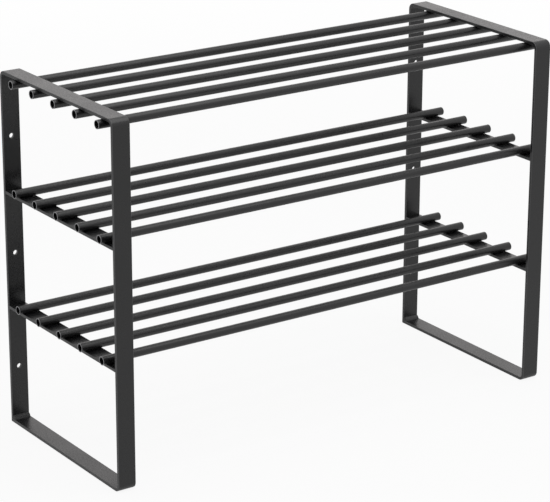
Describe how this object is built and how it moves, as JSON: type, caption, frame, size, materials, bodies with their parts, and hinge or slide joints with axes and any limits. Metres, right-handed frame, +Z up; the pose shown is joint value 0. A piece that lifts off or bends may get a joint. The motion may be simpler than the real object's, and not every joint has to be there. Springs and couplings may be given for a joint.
{
  "type": "tiered shoe rack",
  "caption": "Open tiered shoe rack: upright loop side frames of flat bar joined by tiers of round tubes, with screw holes in the back legs to hold it to a wall.",
  "frame": {"origin": "on the floor, at the middle of the rack's length and depth", "axes": "+X along the tubes, +Y from the front towards the wall behind the rack, +Z up"},
  "size_m": [0.73, 0.292, 0.51],
  "materials": {
    "powder_coat": "matte"
  },
  "bodies": {
    "root": {"left_side_frame": "powder_coat", "right_side_frame": "powder_coat", "lower_left_crossbar": "powder_coat", "lower_right_crossbar": "powder_coat", "middle_left_crossbar": "powder_coat", "middle_right_crossbar": "powder_coat", "lower_tube_1": "powder_coat", "lower_tube_2": "powder_coat", "lower_tube_3": "powder_coat", "lower_tube_4": "powder_coat", "lower_tube_5": "powder_coat", "middle_tube_1": "powder_coat", "middle_tube_2": "powder_coat", "middle_tube_3": "powder_coat", "middle_tube_4": "powder_coat", "middle_tube_5": "powder_coat", "top_tube_1": "powder_coat", "top_tube_2": "powder_coat", "top_tube_3": "powder_coat", "top_tube_4": "powder_coat", "top_tube_5": "powder_coat"}
  },
  "joints": []
}
